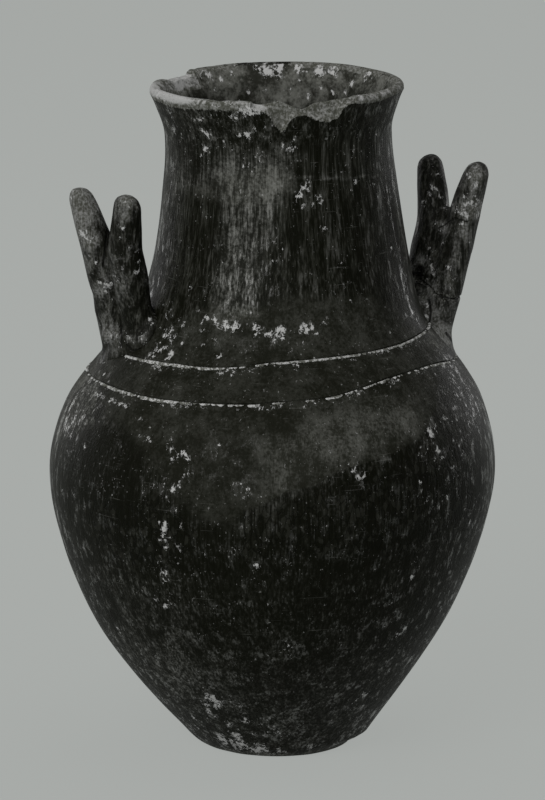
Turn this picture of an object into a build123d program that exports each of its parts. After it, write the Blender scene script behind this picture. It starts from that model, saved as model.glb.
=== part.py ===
from build123d import *
import os
from math import atan2, cos, degrees, radians, sin

# Hand-built clay jar with a wide neck and two forked handles, in millimetres.
# +Z is up, the origin is the centre of the foot, and the front faces -Y.

# Outer surface of the vessel: radii, and the rise of each stretch
base_radius = 55.0
belly_radius = 150.0
neck_foot_radius = 98.0
waist_radius = 76.0
lip_radius = 87.2
body_height = 190.0
shoulder_height = 102.0
neck_height = 128.0
lip_height = 30.0

# Fullness of each stretch: (share of its rise, share of its change of radius)
flank_fullness = [(0.24, 0.385), (0.475, 0.695), (0.74, 0.91)]
shoulder_fullness = [(0.44, 0.18), (0.765, 0.605)]
neck_fullness = [(0.30, 0.52), (0.69, 0.865)]
lip_fullness = [(0.60, 0.42)]

# Clay thickness and rounded edges
wall = 7.5
floor_thickness = 13.0
foot_round = 4.0
lip_round = 2.6

# Seams between the clay courses: where the seam shows outside, and how much it rises per mm outwards
flank_seam_height = 100.0
flank_seam_slope = 0.3
belly_seam_over_belly = 15.0
belly_seam_slope = 0.8
neck_seam_over_neck_foot = 14.0
neck_seam_slope = 1.5
rim_seam_under_waist = 15.0
rim_seam_slope = 0.8

# Two incised lines round the shoulder, packed with lime
upper_line_drop = 12.5
lower_line_drop = 30.5
line_tilt = 3.5
line_width = 2.4
line_depth = 1.8
lime_recess = 0.5

# Forked handles, in a frame on the root: X out of the strap's broad face, Y along its width
handle_angle = 14.75
handle_skew = 33.25
root_drop = 6.0
strap_width = 46.0
strap_thickness = 21.0
strap_height = 64.5
strap_lean = 20.5
fork_width = 49.0
fork_thickness = 24.0
horn_height = 31.0
horn_spread = 7.8
horn_lean = 5.0
horn_tip_radius = 8.7

# Luting of the handles: a tenon through the wall, a wad inside and a collar outside
tenon_radius = 9.0
tenon_clearance = 0.2
tenon_embed = 6.0
tenon_proud = 1.0
wad_radius = 17.0
wad_height = 5.0
collar_spread = 6.0
collar_top_spread = 1.5
collar_drop = 26.0
collar_rise = 11.0

# Old break across the right handle, glued again, and the pit over it
break_height = 22.0
break_slope = 20.0
glue_film = 0.5
pit_radius = 4.5
pit_depth = 8.0
pit_height = 29.5
pit_offset = 4.3

# Flakes lost from the lip, as shallow scoops: (turn round the jar, drop below the lip)
scoop_radius = 46.0
scoop_bite = 2.6
lip_flakes = [(273.0, 3.0), (297.0, 1.0), (150.0, -1.0)]


def between(start, end, fullness):
    """Points of the outline between two stations."""
    return [
        (start[0] + across * (end[0] - start[0]), start[1] + up * (end[1] - start[1]))
        for up, across in fullness
    ]


def inset(points, depth):
    """The outline moved inwards, each point square to the line through its neighbours."""
    moved = []
    for i, point in enumerate(points):
        before = Vector(*points[max(i - 1, 0)])
        after = Vector(*points[min(i + 1, len(points) - 1)])
        along = (after - before).normalized()
        moved.append((point[0] - depth * along.Y, point[1] + depth * along.X))
    return moved


# Stations of the outline, as (radius, height)
foot = (base_radius, 0.0)
belly = (belly_radius, foot[1] + body_height)
neck_foot = (neck_foot_radius, belly[1] + shoulder_height)
waist = (waist_radius, neck_foot[1] + neck_height)
lip = (lip_radius, waist[1] + lip_height)
outline = [
    foot,
    *between(foot, belly, flank_fullness),
    belly,
    *between(belly, neck_foot, shoulder_fullness),
    neck_foot,
    *between(neck_foot, waist, neck_fullness),
    waist,
    *between(waist, lip, lip_fullness),
    lip,
]
reach = belly_radius + wall


def wall_at(height):
    """Outer radius at a height, and how far the wall faces upwards there, in degrees."""
    for low, high in zip(outline, outline[1:]):
        if low[1] <= height <= high[1]:
            share = (height - low[1]) / (high[1] - low[1])
            radius = low[0] + share * (high[0] - low[0])
            return radius, degrees(atan2(low[0] - high[0], high[1] - low[1]))
    raise ValueError(f"height {height} is outside the jar")


def level_line(height):
    """Two ends of a level line in the half section, at the axis and past the wall."""
    return (0, height), (reach, height)


def seam_line(height, slope):
    """Two ends of a sloping seam that shows outside at a height."""
    at_axis = height - slope * wall_at(height)[0]
    return (0, at_axis), (reach, at_axis + slope * reach)


# Lines between the courses, from the ground to over the mouth
ground = level_line(foot[1])
floor_seam = level_line(floor_thickness)
flank_seam = seam_line(flank_seam_height, flank_seam_slope)
belly_seam = seam_line(belly[1] + belly_seam_over_belly, belly_seam_slope)
neck_seam = seam_line(neck_foot[1] + neck_seam_over_neck_foot, neck_seam_slope)
rim_seam = seam_line(waist[1] - rim_seam_under_waist, rim_seam_slope)
mouth = level_line(lip[1] + reach)

# Half section of the cavity, then of the whole wall and floor
with BuildSketch() as cavity_section:
    inner = inset(outline, wall)
    with BuildLine():
        Spline(*inner)
        Polyline(inner[-1], (0, inner[-1][1]), (0, inner[0][1]), inner[0])
    make_face()
    with Locations((0, floor_thickness)):
        Rectangle(2 * reach, floor_thickness, align=(Align.CENTER, Align.MAX), mode=Mode.SUBTRACT)

with BuildSketch() as wall_section:
    with BuildLine():
        Spline(*outline)
        Polyline(lip, (0, lip[1]), (0, foot[1]), foot)
    make_face()
    add(cavity_section.sketch, mode=Mode.SUBTRACT)


def course_section(below, above):
    """Half section of one ring of the wall, between the seams under and over it."""
    with BuildSketch() as band:
        add(wall_section.sketch)
        with BuildLine():
            Polyline(*below, *reversed(above), close=True)
        make_face(mode=Mode.INTERSECT)
    return band.sketch


def filled_form(depth):
    """The jar as a filled body of revolution, its surface moved inwards by depth."""
    skin = inset(outline, depth)
    with BuildPart() as form:
        with BuildSketch(Plane.XZ):
            with BuildLine():
                Spline(*skin)
                Polyline(skin[-1], (0, skin[-1][1]), (0, skin[0][1]), skin[0])
            make_face()
        revolve(axis=Axis.Z)
    return form.part


jar_form = filled_form(0)

with BuildPart() as wall_form:
    with BuildSketch(Plane.XZ):
        add(wall_section.sketch)
    revolve(axis=Axis.Z)

# Frames of the two handles, which stand half a turn apart
root_height = neck_foot[1] - root_drop
root_reach, root_facing = wall_at(root_height)


def handle_frame(turn):
    """Frame on a handle's root, its X out of the strap's broad face."""
    angle = radians(turn)
    face = radians(turn + handle_skew)
    root = (root_reach * cos(angle), root_reach * sin(angle), root_height)
    return Plane(origin=root, x_dir=(cos(face), sin(face), 0), z_dir=(0, 0, 1))


def tenon_frame(turn):
    """Frame on a handle's root, its Z square out of the wall."""
    angle = radians(turn)
    facing = radians(root_facing)
    root = (root_reach * cos(angle), root_reach * sin(angle), root_height)
    outwards = (cos(angle) * cos(facing), sin(angle) * cos(facing), sin(facing))
    return Plane(origin=root, x_dir=(-sin(angle), cos(angle), 0), z_dir=outwards)


def lean_at(height):
    """How far the strap stands out at a height over its root."""
    return strap_lean * height / strap_height


def strap_bar(frame, low, high, low_spread, high_spread):
    """Round-edged bar along the strap between two heights, grown by a spread at each end."""
    with BuildPart() as bar:
        for height, spread in ((low, low_spread), (high, high_spread)):
            share = max(height, 0) / strap_height
            width = strap_width + share * (fork_width - strap_width) + 2 * spread
            thickness = strap_thickness + share * (fork_thickness - strap_thickness) + 2 * spread
            with BuildSketch(frame.offset(height)):
                with Locations((lean_at(height), 0)):
                    SlotOverall(width, thickness, rotation=90)
        loft()
    return bar.part


def tenon_bar(turn, radius, inner_length, outer_length):
    """Round bar through the wall at a handle's root."""
    with BuildPart() as bar:
        with BuildSketch(tenon_frame(turn).offset(-inner_length)):
            Circle(radius)
        extrude(amount=inner_length + outer_length)
    return bar.part


def strap(turn):
    """Handle strap from the wall to the fork, with the tenon that goes through the wall."""
    with BuildPart() as bar:
        add(strap_bar(handle_frame(turn), -collar_drop, strap_height, 0, 0))
        add(jar_form, mode=Mode.SUBTRACT)
        add(tenon_bar(turn, tenon_radius, wall + wad_height + tenon_proud, tenon_embed))
    return bar.part


def collar_bar(turn):
    """Blank of the clay wiped round a handle's root."""
    return strap_bar(handle_frame(turn), -collar_drop, collar_rise, collar_spread, collar_top_spread)


def horn(turn, side):
    """One horn on the strap's fork: side 1 is the horn nearer the neck, side -1 the outer one."""
    frame = handle_frame(turn)
    foot_offset = side * (fork_width - fork_thickness) / 2
    tip = (strap_lean + horn_lean, foot_offset + side * horn_spread, strap_height + horn_height)
    with BuildPart(frame) as prong:
        with BuildSketch(frame.offset(strap_height)):
            with Locations((strap_lean, foot_offset)):
                Circle(fork_thickness / 2)
        with BuildSketch(frame.offset(tip[2])):
            with Locations(tip[:2]):
                Circle(horn_tip_radius)
        loft()
        with Locations(tip):
            Sphere(horn_tip_radius, arc_size1=0, align=(Align.CENTER, Align.CENTER, Align.MIN))
    return prong.part


def line_ring(drop, skin_depth):
    """Ring in the plane of an incised line, from the groove's bottom out to a depth under the skin."""
    tilt = radians(line_tilt)
    middle = (0, 0, neck_foot[1] - drop)
    line_plane = Plane(origin=middle, x_dir=(cos(tilt), 0, sin(tilt)), z_dir=(-sin(tilt), 0, cos(tilt)))
    with BuildPart() as ring:
        with BuildSketch(line_plane):
            Circle(reach)
        extrude(amount=line_width / 2, both=True)
        add(filled_form(skin_depth), mode=Mode.INTERSECT)
        add(filled_form(line_depth), mode=Mode.SUBTRACT)
        for turn in handle_turns.values():
            add(collar_bar(turn), mode=Mode.SUBTRACT)
    return ring.part


def write(piece, name):
    """Label a finished piece and write it to its own file."""
    piece.part.label = name
    export_step(piece.part, f"parts/{name}.step")


handle_turns = {"left": 180 + handle_angle, "right": handle_angle}
straps = {side: strap(turn) for side, turn in handle_turns.items()}
line_drops = {"upper": upper_line_drop, "lower": lower_line_drop}
os.makedirs("parts", exist_ok=True)

# Floor slab, with the worn edge of the foot
with BuildPart() as base_disc:
    with BuildSketch(Plane.XZ):
        add(course_section(ground, floor_seam))
    revolve(axis=Axis.Z)
    fillet(base_disc.edges().filter_by(GeomType.CIRCLE).group_by(Axis.Z)[0], foot_round)
write(base_disc, "base_disc")

# Lower wall, from the floor up the flank
with BuildPart() as lower_wall:
    with BuildSketch(Plane.XZ):
        add(course_section(floor_seam, flank_seam))
    revolve(axis=Axis.Z)
write(lower_wall, "lower_wall")

# Belly wall, across the widest part
with BuildPart() as belly_wall:
    with BuildSketch(Plane.XZ):
        add(course_section(flank_seam, belly_seam))
    revolve(axis=Axis.Z)
write(belly_wall, "belly_wall")

# Shoulder wall, with the incised lines and the holes for the tenons
with BuildPart() as shoulder_wall:
    with BuildSketch(Plane.XZ):
        add(course_section(belly_seam, neck_seam))
    revolve(axis=Axis.Z)
    for drop in line_drops.values():
        add(line_ring(drop, 0), mode=Mode.SUBTRACT)
    for turn in handle_turns.values():
        hole_length = wall + wad_height + tenon_proud
        add(tenon_bar(turn, tenon_radius + tenon_clearance, hole_length, tenon_embed), mode=Mode.SUBTRACT)
write(shoulder_wall, "shoulder_wall")

# Neck wall
with BuildPart() as neck_wall:
    with BuildSketch(Plane.XZ):
        add(course_section(neck_seam, rim_seam))
    revolve(axis=Axis.Z)
write(neck_wall, "neck_wall")

# Rim course, flared, with a rounded lip and the flakes lost from it
with BuildPart() as rim_course:
    with BuildSketch(Plane.XZ):
        add(course_section(rim_seam, mouth))
    revolve(axis=Axis.Z)
    fillet(rim_course.edges().filter_by(GeomType.CIRCLE).group_by(Axis.Z)[-1], lip_round)
    for turn, drop in lip_flakes:
        scoop_reach = lip_radius + scoop_radius - scoop_bite
        with Locations((scoop_reach * cos(radians(turn)), scoop_reach * sin(radians(turn)), lip[1] - drop)):
            Sphere(scoop_radius, mode=Mode.SUBTRACT)
write(rim_course, "rim_course")

# Lime packed into the incised lines
for name, drop in line_drops.items():
    with BuildPart() as line_lime:
        add(line_ring(drop, lime_recess))
    write(line_lime, f"{name}_line_lime")

# Left strap, in one piece
with BuildPart() as left_strap:
    add(straps["left"])
write(left_strap, "left_handle_strap")

# Right strap in two fragments, with a film of glue in the break and a pit over it
right_frame = handle_frame(handle_turns["right"])
break_plane = right_frame.offset(break_height).rotated((break_slope, 0, 0))
break_top = break_plane.offset(glue_film / 2)
break_bottom = break_plane.offset(-glue_film / 2)

pit_floor = (lean_at(pit_height) - strap_thickness / 2 + pit_depth, pit_offset, pit_height)
pit_plane = Plane(origin=right_frame.from_local_coords(pit_floor), z_dir=-right_frame.x_dir)

with BuildPart() as right_strap:
    add(straps["right"])
    split(bisect_by=break_top, keep=Keep.TOP)
    with BuildSketch(pit_plane):
        Circle(pit_radius)
    extrude(amount=strap_thickness, mode=Mode.SUBTRACT)
write(right_strap, "right_handle_strap")

with BuildPart() as right_stub:
    add(straps["right"])
    split(bisect_by=break_bottom, keep=Keep.BOTTOM)
write(right_stub, "right_handle_stub")

with BuildPart() as right_glue:
    add(straps["right"])
    split(bisect_by=break_top, keep=Keep.BOTTOM)
    split(bisect_by=break_bottom, keep=Keep.TOP)
write(right_glue, "right_handle_glue")

# Horns: the one nearer the neck stands in front on the left handle and behind on the right one
horn_sides = {"left": {"front": 1, "back": -1}, "right": {"front": -1, "back": 1}}
for hand, places in horn_sides.items():
    for place, side in places.items():
        with BuildPart() as fork_horn:
            add(horn(handle_turns[hand], side))
        write(fork_horn, f"{hand}_{place}_horn")

# Collars outside and wads inside, which hold the straps to the wall
for hand, turn in handle_turns.items():
    with BuildPart() as root_collar:
        add(collar_bar(turn))
        add(jar_form, mode=Mode.SUBTRACT)
        add(straps[hand], mode=Mode.SUBTRACT)
    write(root_collar, f"{hand}_root_collar")

    with BuildPart() as tenon_wad:
        with BuildSketch(tenon_frame(turn).offset(-wall - wad_height)):
            Circle(wad_radius)
            Circle(tenon_radius + tenon_clearance, mode=Mode.SUBTRACT)
        extrude(amount=wall / 2 + wad_height)
        add(wall_form.part, mode=Mode.SUBTRACT)
    write(tenon_wad, f"{hand}_tenon_wad")
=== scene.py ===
from math import atan2, cos, pi, radians, sin, tan

import bmesh
import bpy
import numpy as np
from mathutils import Matrix, Vector, kdtree, noise
from mathutils.geometry import interpolate_bezier


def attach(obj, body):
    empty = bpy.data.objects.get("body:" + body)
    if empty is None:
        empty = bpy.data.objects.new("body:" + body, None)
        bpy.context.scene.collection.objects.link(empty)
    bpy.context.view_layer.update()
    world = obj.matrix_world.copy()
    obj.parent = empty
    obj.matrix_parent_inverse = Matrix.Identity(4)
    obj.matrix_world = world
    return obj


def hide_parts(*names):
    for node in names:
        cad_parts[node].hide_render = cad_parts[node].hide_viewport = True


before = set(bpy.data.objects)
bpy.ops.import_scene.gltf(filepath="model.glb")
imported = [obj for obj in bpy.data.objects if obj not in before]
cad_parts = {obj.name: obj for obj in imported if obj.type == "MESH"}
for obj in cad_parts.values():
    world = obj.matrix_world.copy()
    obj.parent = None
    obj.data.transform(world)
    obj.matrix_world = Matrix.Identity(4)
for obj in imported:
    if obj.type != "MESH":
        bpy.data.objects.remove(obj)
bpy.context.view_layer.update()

scene = bpy.context.scene
scene.view_settings.view_transform = "Standard"
print("frame loaded,", len(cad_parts), "nodes")

# Camera: long lens, a little above the jar
cameraSet = {"place": (-0.0017, -5.2616, 1.4498), "tilt": 13.0, "lens": 360.5, "film": 36.0, "wide": 545, "high": 800}

cameraData = bpy.data.cameras.new("jarCamera")
cameraData.lens = cameraSet["lens"]
cameraData.sensor_width = cameraSet["film"]
cameraObject = bpy.data.objects.new("jarCamera", cameraData)
cameraObject.location = cameraSet["place"]
cameraObject.rotation_euler = (radians(90 - cameraSet["tilt"]), 0, 0)
scene.collection.objects.link(cameraObject)
scene.camera = cameraObject

eye = np.array(cameraSet["place"])
ahead = np.array((0, cos(radians(cameraSet["tilt"])), -sin(radians(cameraSet["tilt"]))))
above = np.array((0, sin(radians(cameraSet["tilt"])), cos(radians(cameraSet["tilt"]))))
focal = cameraSet["lens"] / cameraSet["film"] * cameraSet["high"]


def toPixels(co):  # where points show in the photograph's frame
    away = co - eye
    depth = away @ ahead
    return cameraSet["wide"] / 2 + focal * away[:, 0] / depth, cameraSet["high"] / 2 - focal * (away @ above) / depth


# The jar's wall, in metres: (radius, height) down the outline, and how the hand left it
jar = {
    "outline": [(0.055, 0), (0.0916, 0.0456), (0.121, 0.0903), (0.1415, 0.1406), (0.15, 0.19), (0.1406, 0.2349),
                (0.1185, 0.268), (0.098, 0.292), (0.0866, 0.3304), (0.079, 0.3803), (0.076, 0.42), (0.0807, 0.438),
                (0.0872, 0.45)],
    "wall": 0.0075, "floor": 0.013,
    "sway": [(-0.02, 0.002), (0.0, 0.002), (0.03, -0.0005), (0.08, -0.003), (0.19, -0.0018), (0.25, 0.0),
             (0.33, 0.0036), (0.4, 0.003), (0.45, 0.0012), (0.5, 0.0012)],  # (height, sideways set of the axis)
    "tilt": 0.9, "tiltFrom": 0.2, "tiltTo": 0.31,  # the upper half leans up to the right
    "lump": 0.0007, "lumpSize": 13, "dimple": 0.00014, "dimpleSize": 48,
    "stroke": 0.0001, "ridge": 0.0005, "ridgeGap": 0.017, "ridgeLump": 0.0004,
    "step": 0.002, "innerStep": 0.006, "turns": 480,
}


def ease(t):
    t = np.clip(t, 0, 1)
    return t * t * (3 - 2 * t)


def bell(gap):  # 1 in the middle, fading out on both sides
    return np.exp(-gap ** 2)


def radiusOf(co):
    return np.hypot(co[:, 0], co[:, 1])


def turnOf(co):
    return np.arctan2(co[:, 1], co[:, 0]) % (2 * pi)


def smoothLine(points, perSpan=30):  # rounded line through given points
    knots = [Vector((a, b, 0)) for a, b in points]
    last = len(knots) - 1
    ways = [(knots[min(i + 1, last)] - knots[max(i - 1, 0)]).normalized() for i in range(last + 1)]
    line = []
    for i in range(last):
        reach = (knots[i + 1] - knots[i]).length / 3
        span = interpolate_bezier(
            knots[i], knots[i] + ways[i] * reach, knots[i + 1] - ways[i + 1] * reach, knots[i + 1], perSpan)
        line += span if i == last - 1 else span[:-1]
    return np.array([(p.x, p.y) for p in line])


def runOf(line):  # length along a line up to each of its points
    return np.concatenate(([0], np.cumsum(np.hypot(*np.diff(line, axis=0).T))))


outerLine = smoothLine(jar["outline"])
slope = np.gradient(outerLine, axis=0)
slope /= np.hypot(slope[:, 0], slope[:, 1])[:, None]
innerLine = outerLine + jar["wall"] * np.stack((-slope[:, 1], slope[:, 0]), axis=1)
innerLine = innerLine[np.argsort(innerLine[:, 1])]
swayLine = smoothLine(jar["sway"])
shoulderSide = outerLine[(outerLine[:, 1] > 0.19) & (outerLine[:, 1] < 0.42)][::-1]  # widest part to narrowest


def outerRadius(z):
    return np.interp(z, outerLine[:, 1], outerLine[:, 0])


def innerRadius(z):
    return np.interp(z, innerLine[:, 1], innerLine[:, 0])


def wallTop(radius):  # height of the shoulder or neck at a radius
    return np.interp(radius, shoulderSide[:, 0], shoulderSide[:, 1])


def perlin(co, size):
    return np.array([noise.noise(p) for p in (co * size).tolist()])


def leanOf(x, z):  # lift of the leaning upper half
    return x * tan(radians(jar["tilt"])) * ease((z - jar["tiltFrom"]) / (jar["tiltTo"] - jar["tiltFrom"]))


def handShape(co):  # the same uneven set for all pieces, so that they keep together
    x, y, z = co.T
    radius = np.maximum(radiusOf(co), 1e-4)
    swell = jar["lump"] * perlin(co, jar["lumpSize"]) * ease(radius / 0.04) * ease(z / 0.02)
    sway = np.interp(z, swayLine[:, 0], swayLine[:, 1])
    return np.stack((x + x / radius * swell + sway, y + y / radius * swell, z + leanOf(x, z)), axis=1)


def onJar(px, py, far=False):  # point of the wall, before the hand's set, that a pixel of the photograph shows
    way = ahead + above * (cameraSet["high"] / 2 - py) / focal
    way[0] += (px - cameraSet["wide"] / 2) / focal
    x, y, z = (eye + np.linspace(5.0, 5.8, 1601)[:, None] * way).T  # steps along the sight, through the whole jar
    z = z - leanOf(x, z)
    x = x - np.interp(z, swayLine[:, 0], swayLine[:, 1])
    gap = np.hypot(x, y) - (innerRadius(z) if far else outerRadius(z)) + np.where((z > 0.452) | (z < 0), 1, 0)
    hits = np.nonzero(gap < 0)[0]
    i = (hits[-1] if far else hits[0]) if len(hits) else np.argmin(gap)
    return np.array((x[i], y[i], z[i]))


def rowsBetween(line, low, high, step):  # evenly spaced points of one face of the wall between two heights
    run = runOf(line)
    start, end = np.interp((low, high), line[:, 1], run)
    spots = np.linspace(start, end, max(2, round(abs(end - start) / step) + 1))
    return [tuple(p) for p in np.stack((np.interp(spots, run, line[:, 0]), np.interp(spots, run, line[:, 1])), axis=1)]


def seamInside(height, steep):  # height at which a seam comes out inside the wall
    inside = height
    for _ in range(30):
        inside = height - steep * (outerRadius(height) - innerRadius(inside))
    return float(inside)


def spinWall(points, closed=True):
    bm = bmesh.new()
    verts = [bm.verts.new((r, 0, z)) for r, z in points]
    edges = [bm.edges.new(pair) for pair in zip(verts, verts[1:])]
    if closed:
        edges.append(bm.edges.new((verts[-1], verts[0])))
    bmesh.ops.spin(bm, geom=verts + edges, cent=(0, 0, 0), axis=(0, 0, 1), angle=2 * pi, steps=jar["turns"],
                   use_merge=True)
    bmesh.ops.remove_doubles(bm, verts=bm.verts, dist=0.00002)
    bmesh.ops.recalc_face_normals(bm, faces=bm.faces)
    return bm


def toMesh(name, bm):
    mesh = bpy.data.meshes.new(name)
    bm.to_mesh(mesh)
    bm.free()
    return mesh


def readVectors(source, field):
    values = np.empty(len(source) * 3)
    source.foreach_get(field, values)
    return values.reshape(-1, 3)


def getPoints(mesh):
    return readVectors(mesh.vertices, "co")


def getNormals(mesh):
    return readVectors(mesh.vertex_normals, "vector")


def setPoints(mesh, co):
    mesh.vertices.foreach_set("co", np.ascontiguousarray(co, dtype=np.float32).ravel())
    mesh.update()


def setMasks(mesh, **masks):  # values per point that a finish reads by name
    for name, values in masks.items():
        data = mesh.attributes.new(name, "FLOAT", "POINT").data
        data.foreach_set("value", np.ascontiguousarray(values, dtype=np.float32))


def makePiece(name, mesh, node, finish, sharp=50):
    mesh.polygons.foreach_set("use_smooth", np.ones(len(mesh.polygons), dtype=bool))
    mesh.set_sharp_from_angle(angle=radians(sharp))
    mesh.materials.append(finish)
    piece = bpy.data.objects.new(name, mesh)
    scene.collection.objects.link(piece)
    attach(piece, "root")
    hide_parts(node)
    print(name, "made,", len(mesh.polygons), "faces")


# Shader values that can be reckoned with
class Wire:
    def __init__(self, finish, socket):
        self.finish = finish
        self.socket = socket

    def reckon(self, operation, first, second):
        return self.finish.node("ShaderNodeMath", {"operation": operation}, {0: first, 1: second})

    def __add__(self, other):
        return self.reckon("ADD", self, other)

    def __radd__(self, other):
        return self.reckon("ADD", other, self)

    def __sub__(self, other):
        return self.reckon("SUBTRACT", self, other)

    def __rsub__(self, other):
        return self.reckon("SUBTRACT", other, self)

    def __mul__(self, other):
        return self.reckon("MULTIPLY", self, other)

    def __rmul__(self, other):
        return self.reckon("MULTIPLY", other, self)


class Finish:
    def __init__(self, name, tones=None):
        self.tones = tones
        self.material = bpy.data.materials.new(name)
        self.material.use_nodes = True
        self.tree = self.material.node_tree
        self.shader = self.tree.nodes["Principled BSDF"]
        self.place = self.node("ShaderNodeTexCoord", out="Object")

    def node(self, kind, settings=None, sockets=None, out=0):
        made = self.tree.nodes.new(kind)
        for key, value in (settings or {}).items():
            setattr(made, key, value)
        for key, value in (sockets or {}).items():
            self.feed(made.inputs[key], value)
        return Wire(self, made.outputs[out])

    def feed(self, socket, value):
        if isinstance(value, Wire):
            self.tree.links.new(value.socket, socket)
        else:
            socket.default_value = value

    def grain(self, size, detail=3.0, rough=0.55, skew=0.0, swing=0.18):  # noise drawn out to 0..1, size is per metre
        laid = self.node("ShaderNodeMapping", {}, {"Vector": self.place, "Scale": size, "Location": (skew,) * 3})
        raw = self.node("ShaderNodeTexNoise", {}, {"Vector": laid, "Scale": 1.0, "Detail": detail, "Roughness": rough})
        return self.node("ShaderNodeMapRange", {}, {"Value": raw, "From Min": 0.5 - swing, "From Max": 0.5 + swing})

    def cells(self, size, feature, out):
        spread = self.node("ShaderNodeMapping", {}, {"Vector": self.place, "Scale": size})
        return self.node("ShaderNodeTexVoronoi", {"feature": feature}, {"Vector": spread, "Scale": 1.0}, out)

    def mask(self, name):
        return self.node("ShaderNodeAttribute", {"attribute_name": name}, out="Fac")

    def step(self, value, low, high):
        return self.node("ShaderNodeMapRange", {"interpolation_type": "SMOOTHSTEP"},
                         {"Value": value, "From Min": low, "From Max": high})

    def mix(self, share, first, second):
        return self.node("ShaderNodeMix", {"data_type": "RGBA"}, {0: share, 6: first, 7: second}, out=2)

    def tone(self, name):
        return grey(self.tones[name])

    def shade(self, value, low, high, dark, light):  # from one tone to the other as a value rises
        return self.mix(self.step(value, low, high), self.tone(dark), self.tone(light))

    def finish(self, colour, roughness, height, depth, gloss=0.3, coat=0.0):
        bump = self.node("ShaderNodeBump", {}, {"Height": height, "Strength": 1.0, "Distance": depth})
        self.feed(self.shader.inputs["Base Color"], colour)
        self.feed(self.shader.inputs["Roughness"], roughness)
        self.feed(self.shader.inputs["Normal"], bump)
        self.feed(self.shader.inputs["Specular IOR Level"], gloss)
        self.feed(self.shader.inputs["Coat Weight"], coat)  # polish of the pebble, strongest at the edge of the form
        self.feed(self.shader.inputs["Coat Roughness"], 0.25)
        return self.material


def grey(level):  # near-neutral colours, linear, a little olive where they are dark
    olive = 0.4 * (1 - ease(level / 0.015)) + 0.2 * (1 - ease(level / 0.25)) + 0.02
    return (float(level * (1 - olive * 0.12)), level, float(level * (1 - olive)), 1)


# Burnished clay of the wall: black where the pebble polished it, with paler streaks of painted sheen, matt and paler
# where it wore
burnish = {
    "black": 0.0036, "paintedSheen": 0.027, "matt": 0.014, "dust": 0.15, "cloud": 0.032, "cloudLight": 0.14, "smooth": 0.0078,
    "smoothLight": 0.023, "fleck": 0.2, "bare": 0.06, "bareLight": 0.17, "lip": 0.36, "lime": 0.46, "cleft": 0.002,
    "inside": 0.022, "insideDust": 0.135, "insideShade": 0.0088, "gloss": 0.045, "polish": 0.85, "relief": 0.00045,
}


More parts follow.
